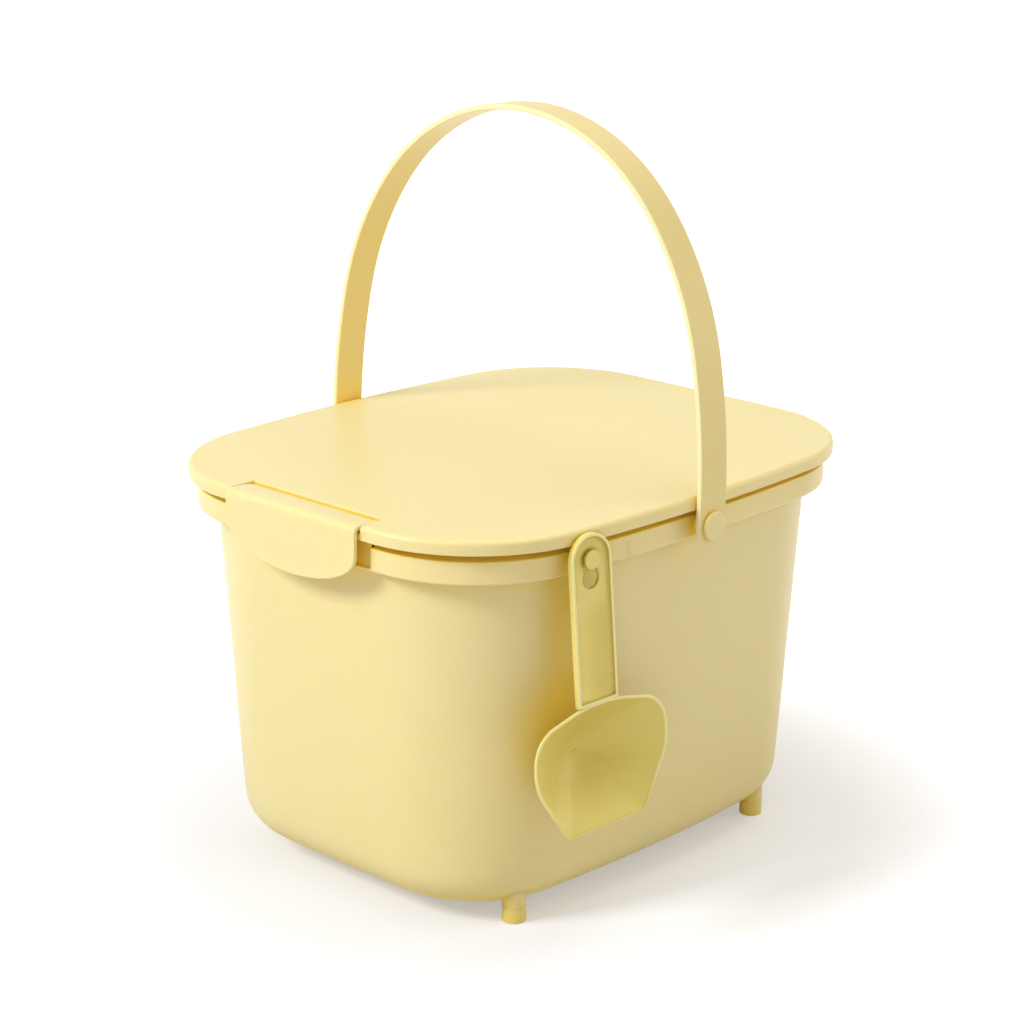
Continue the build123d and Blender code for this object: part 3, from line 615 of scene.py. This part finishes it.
# Scoop: worked in its own plane, u across, v up, w outwards, all from the peg's middle
scoop = {"grip": 13.2, "rim": 1.8, "rimFoot": 0.9, "depth": 3.4, "floor": 1.8, "neck": -72.5, "skin": 1.8,
         "hole": 5.5, "holeDrop": 9.5, "slot": 3.15, "trough": 3.2, "troughStart": -15.5, "troughRun": 18.0,
         "troughEnd": 9.0, "backHalf": 11.2, "lip": -137.5, "lipHalf": 26.2, "aside": 0.9, "bowlHalf": 44.3,
         "bowlDepth": 22.3, "bellyV": -107.0, "bellyOut": 0.7, "shoulder": 8.5, "deepest": -102.0,
         "ellipse": np.array((29.0, 24.0)), "ellipseSkin": 1.5, "wallForm": 0.7, "middleForm": 0.9,
         "lipForm": 1.4, "lipFrom": 0.30, "lipSpan": 0.55, "lipThinner": 0.7}
tilt, leanOut = math.radians(-peg["tilt"]), math.radians(peg["lean"])
turnY = np.array([(math.cos(tilt), 0, math.sin(tilt)), (0, 1, 0), (-math.sin(tilt), 0, math.cos(tilt))])
turnX = np.array([(1, 0, 0), (0, math.cos(leanOut), -math.sin(leanOut)),
                  (0, math.sin(leanOut), math.cos(leanOut))])
scoopTurn = turnX @ turnY
uAxis = scoopTurn @ np.array((math.sin(pegTurn), math.cos(pegTurn), 0))
wAxis = scoopTurn @ pegOut
vAxis = np.cross(wAxis, uAxis)


# place of (u, v, w) [..., 3] in the frame: peg + u U + v V + w W
def onScoop(grid):
    return pegPlace + grid[..., :1] * uAxis + grid[..., 1:2] * vAxis + grid[..., 2:] * wAxis


# smooth step 3 t^2 - 2 t^3 of a value held between 0 and 1
def smooth(value):
    t = np.clip(value, 0, 1)
    return t * t * (3 - 2 * t)


# closed outline resampled to a count of points evenly along it, from the point nearest to straight up
def resampled(outline, count, middle):
    ring = np.vstack([outline, outline[:1]])
    length = np.concatenate([[0], np.cumsum(np.linalg.norm(np.diff(ring, axis=0), axis=1))])
    s = np.linspace(0, length[-1], count, endpoint=False)
    even = np.stack([np.interp(s, length, ring[:, 0]), np.interp(s, length, ring[:, 1])], -1)
    away = even - np.array(middle)
    return np.roll(even, -int(np.argmin(np.abs(np.arctan2(away[:, 0], away[:, 1])))), 0)


# bowl's outline: narrow at the neck, round shoulders, a belly, and in to a straight lip
neck, lip, wide = scoop["neck"], scoop["lip"], scoop["bowlHalf"]
shoulder, belly = neck - scoop["shoulder"], wide + scoop["bellyOut"]
deepest = np.array((0.0, scoop["deepest"]))
rimOutline = rounded([
    (-wide * 0.25, neck, 9), (-wide, shoulder, 14), (-belly, scoop["bellyV"], 9),
    (-scoop["lipHalf"], lip, 2.5), (scoop["lipHalf"], lip, 2.5),
    (belly, scoop["bellyV"], 9), (wide, shoulder, 14), (wide * 0.25, neck, 9)],
    closed=True, steps=16, hold=0)
rimOutline = resampled(rimOutline + (scoop["aside"], 0), 240, deepest)
away = rimOutline - deepest
away /= np.linalg.norm(away, axis=1, keepdims=True)
lipward = smooth((-away[:, 1] - scoop["lipFrom"]) / scoop["lipSpan"])  # 0 at the walls, 1 at the lip
skin = scoop["skin"] - scoop["lipThinner"] * lipward


# bowl's rings, r from 0 at its deepest place to 1 at the rim. A ring is an ellipse near the middle and the
# rim's outline at the rim, reach = r (ellipse (1 - r^1.5) + rim r^1.5), and lies at
# depth = deepest (1 - r^2 (a + (1 - a) r^2)), where a goes from middleForm at r = 0 to wallForm at the walls
# and lipForm at the lip
def bowlRings(r, outline, ellipse, deep):
    r = r[:, None]
    share = r ** 1.5
    toOutline = outline - deepest
    toRim = np.linalg.norm(toOutline, axis=1)
    toEllipse = 1 / np.sqrt((away[:, 0] / ellipse[0]) ** 2 + (away[:, 1] / ellipse[1]) ** 2)
    reach = r * (toEllipse * (1 - share) + toRim * share)
    rimForm = scoop["wallForm"] + (scoop["lipForm"] - scoop["wallForm"]) * lipward
    a = scoop["middleForm"] + (rimForm - scoop["middleForm"]) * r
    depth = deep * (1 - r * r * (a + (1 - a) * r * r))
    spots = deepest + toOutline / toRim[:, None] * reach[..., None]
    return np.concatenate([spots, (-skin / 2 - depth)[..., None]], -1)


# inside from the deepest place to the rim, a half round over the rim's skin, and back down outside
fullDepth = scoop["bowlDepth"] - scoop["skin"] / 2
radii = np.sin(np.linspace(0.004, math.pi / 2, 44))
rimInward = inwardOf(rimOutline)
innerRim = rimOutline + rimInward * skin[:, None]
insideRings = bowlRings(radii, innerRim, scoop["ellipse"], fullDepth - scoop["skin"])
overRim = np.linspace(0, math.pi, 9)[1:-1, None]
rollSpots = rimOutline + rimInward * (skin / 2 * (1 + np.cos(overRim)))[..., None]
rollRings = np.concatenate([rollSpots, (-skin / 2 * (1 - np.sin(overRim)))[..., None]], -1)
outsideRings = bowlRings(radii[::-1], rimOutline, scoop["ellipse"] + scoop["ellipseSkin"], fullDepth)
bowl = np.concatenate([insideRings, rollRings, outsideRings])
# painted highlight over the bowl's rim, fading away from it and weaker at the thin lip
fromRim = np.abs(np.arange(len(bowl)) - len(radii) - 2)[:, None]
bowlRimHighlight = np.clip(1 - fromRim / 5, 0, 1) ** 0.5 * (1 - 0.8 * lipward)

# grip's outline, round at the top, and the keyhole's: a narrow half round above a round hole
grip, trayEdge = scoop["grip"], scoop["rim"]
trayHalf, gripEnd = grip - trayEdge - scoop["rimFoot"], neck - 0.9
gripOutline = np.vstack([
    roundOf(grip, np.linspace(0, math.pi, 60)),
    rounded([(-grip, 0, 0), (-grip, gripEnd, 0.4), (grip, gripEnd, 0.4), (grip, 0, 0)], steps=4)[1:-1]])
holeOutline = np.vstack([
    roundOf(scoop["slot"], np.linspace(0, math.pi, 24)),
    roundOf(scoop["hole"], np.radians(np.linspace(-214, 34, 50))[1:-1], (0, -scoop["holeDrop"]))])
holeMiddle = (0.0, -5.0)


# outline points where rays from the middle cross it, one for each angle, for rings that must agree
def byAngle(outline, middle, angles):
    ring = outline - np.array(middle)
    direction = np.unwrap(np.arctan2(ring[:, 0], ring[:, 1]))
    order = np.argsort(direction)
    distance = np.linalg.norm(ring, axis=1)
    reach = np.interp(angles, direction[order], distance[order], period=2 * math.pi)
    return np.array(middle) + np.column_stack([np.sin(angles), np.cos(angles)]) * reach[:, None]


gripEven = resampled(gripOutline, 260, holeMiddle)
rays = np.arctan2(*(gripEven - np.array(holeMiddle)).T)
holeEven = byAngle(resampled(holeOutline, 240, holeMiddle), holeMiddle, rays)


# grip outline drawn in by distances [rows]: its sides and round top shrink about the peg by
# 1 - d / half width, and its lower end moves up by d
def drawnIn(distances):
    d = np.reshape(distances, (-1, 1))
    across = np.broadcast_to(1 - d / grip, (len(d), len(gripEven)))
    along = np.where(gripEven[:, 1] > 0, across, 1 + d / gripEnd)
    return gripEven * np.stack([across, along], -1)


# depth of the grip's trough below its floor: trough (1 - (u / half)^2) s(v), where s starts on a smooth step
# below the keyhole and dies out as f (2 - f) towards the neck
def troughAt(spots):
    start = smooth((scoop["troughStart"] - spots[..., 1]) / scoop["troughRun"])
    f = np.clip((spots[..., 1] - gripEnd - trayEdge - scoop["rimFoot"]) / scoop["troughEnd"], 0, 1)
    return scoop["trough"] * np.clip(1 - (spots[..., 0] / trayHalf) ** 2, 0, 1) * start * f * (2 - f)


# rings between the keyhole and an outline round it, share 0 to 1
def betweenRings(outline, share):
    return holeEven + (outline - holeEven) * share[:, None, None]


# grip: rings run from the keyhole's edge over the tray's floor, up and over its rim and round the back to
# the keyhole again
floorW, backW = scoop["floor"] - scoop["depth"], -scoop["depth"]
floorShare, backShare = np.linspace(0, 1, 45), np.linspace(1, 0, 30)
floorSpots = betweenRings(drawnIn(trayEdge + scoop["rimFoot"]), floorShare)
floorHeights = floorW - 0.25 * np.clip(1 - floorShare * 30, 0, 1)[:, None] - troughAt(floorSpots)
edgeRows = rounded([(trayEdge + scoop["rimFoot"], floorW, 0), (trayEdge, floorW, 0.7), (trayEdge, 0, 0.55),
                    (0, 0, 0.8), (0, backW, 0.6), (2.0, backW, 0)], steps=5)[1:-1]
edgeSpots = drawnIn(edgeRows[:, 0])
edgeHeights = np.broadcast_to(edgeRows[:, 1:], edgeSpots.shape[:2])
backSpots = betweenRings(drawnIn(2.0), backShare)
backRound = np.clip(1 - (backSpots[..., 0] / scoop["backHalf"]) ** 2, 0, 1) ** 0.5
backHeights = backW - troughAt(backSpots) * backRound
gripParts = ((floorSpots, floorHeights), (edgeSpots, edgeHeights), (backSpots, backHeights))
gripRings = np.concatenate([np.concatenate([spots, heights[..., None]], -1) for spots, heights in gripParts])
# painted highlight on the grip's raised rim
gripRimHighlight = np.concatenate([np.zeros(len(floorShare)), np.clip(1 - np.abs(edgeRows[:, 1]) / 0.8, 0, 1),
                          np.zeros(len(backShare))])
meshPiece("scoopBody", [(onScoop(bowl), ("columns", "firstRow", "lastRow"), bowlRimHighlight),
                        (onScoop(gripRings), ("columns", "rows"), gripRimHighlight[:, None])],
          "scoop", scoopPlastic, replaces=("scoop",), sharp=50)

# Peg: round shank and flat head
pegRows = rounded([
    (0.2, peg["tail"], 0), (peg["shank"], peg["tail"], 0.3), (peg["shank"], peg["headBase"], 0.1),
    (peg["head"], peg["headBase"], 0.3), (peg["head"], peg["headTop"], 0.6), (0.2, peg["headTop"], 0)],
    steps=5)
meshPiece("scoopPeg", [turned(pegRows, pegPlace, pegOut)], "peg", scoopPlastic, replaces=("scoop_peg",))

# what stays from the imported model
for nodeName, material in (("lid_liner", lidPlastic), ("lid_seal", sealSilicone), ("latch_pin", pinSteel),
                           ("hinge_pin", pinSteel)):
    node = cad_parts[nodeName]
    if not node.material_slots:
        node.data.materials.append(material)
    for slot in node.material_slots:
        slot.material = material
print("pieces made")

# Floor, world and lamps
studio = {"floor": (0.66, 0.672, 0.705, 1), "floorHalf": 9.0, "floorLift": 0.36, "shadowEnd": 0.17,
          "whiteFrom": 0.38, "ambient": 0.37}

floorMesh = bpy.data.meshes.new("floor")
far = studio["floorHalf"]
floorMesh.from_pydata([(-far, -far, 0), (far, -far, 0), (far, far, 0), (-far, far, 0)], [], [(0, 1, 2, 3)])
floorPiece = bpy.data.objects.new("floor", floorMesh)
bpy.context.scene.collection.objects.link(floorPiece)


# one where the ray comes from the camera, a gloss or a clear material:
# min(camera + glossy + transmission, 1)
def seenRay(shop):
    ray = shop.tree.nodes.new("ShaderNodeLightPath")
    seen = Flow(shop, ray.outputs["Is Camera Ray"]) + Flow(shop, ray.outputs["Is Glossy Ray"])
    seen = seen + Flow(shop, ray.outputs["Is Transmission Ray"])
    return shop.node("ShaderNodeMath", {"operation": "MINIMUM"}, {0: seen, 1: 1.0})


# paper floor that takes the shadow near the object and goes to white away from it
floorMaterial, shop = newMaterial("floor")
paper = shop.node("ShaderNodeBsdfDiffuse", {}, {"Color": studio["floor"], "Roughness": 0.3})
place = shop.node("ShaderNodeTexCoord", out="Object")
fromMiddle = shop.node("ShaderNodeVectorMath", {"operation": "LENGTH"}, {0: place}, "Value")
lifted = shop.ramp(fromMiddle, studio["shadowEnd"], studio["whiteFrom"], studio["floorLift"], 1.0)
lift = shop.node("ShaderNodeEmission", {}, {"Color": (1, 1, 1, 1), "Strength": seenRay(shop) * lifted})
both = shop.node("ShaderNodeAddShader", {}, {0: paper, 1: lift})
shop.node("ShaderNodeOutputMaterial", {}, {"Surface": both})
floorMesh.materials.append(floorMaterial)

world = bpy.data.worlds.new("studio")
bpy.context.scene.world = world
world.use_nodes = True
shop = Shop(world.node_tree)
strength = studio["ambient"] + seenRay(shop) * (1.0 - studio["ambient"])
sky = shop.node("ShaderNodeBackground", {}, {"Color": (1, 1, 1, 1), "Strength": strength})
shop.node("ShaderNodeOutputWorld", {}, {"Surface": sky})


# square area lamp at a place, turned to its aim; its size in metres and its power in watts
def softbox(name, place, aim, size, power, colour):
    lamp = bpy.data.lights.new(name, "AREA")
    lamp.shape, lamp.size, lamp.energy, lamp.color = "SQUARE", size, power, colour
    lampObject = bpy.data.objects.new(name, lamp)
    lampObject.location = place
    lampObject.rotation_mode = "QUATERNION"
    lampObject.rotation_quaternion = (Vector(aim) - Vector(place)).to_track_quat("-Z", "Y")
    bpy.context.scene.collection.objects.link(lampObject)


# name: place, aim, size, power, colour
lamps = {
    "key": ((-0.75, -2.15, 1.80), (0, 0, 0.15), 0.8, 46.5, (1.0, 1.0, 1.0)),
    "corner": ((1.5, -1.7, 0.5), (0, 0, 0.12), 1.0, 5.5, (1.0, 0.86, 0.60)),
    "fill": ((1.5, 1.9, 0.8), (0, 0, 0.15), 1.3, 12.0, (1.0, 0.86, 0.60)),
    "top": ((0.2, 0.5, 2.6), (0, 0, 0.15), 1.8, 20.0, (1.0, 0.95, 0.86)),
}
for lampName, settings in lamps.items():
    softbox(lampName, *settings)

bpy.context.scene.view_settings.view_transform = "Standard"
print("studio set")
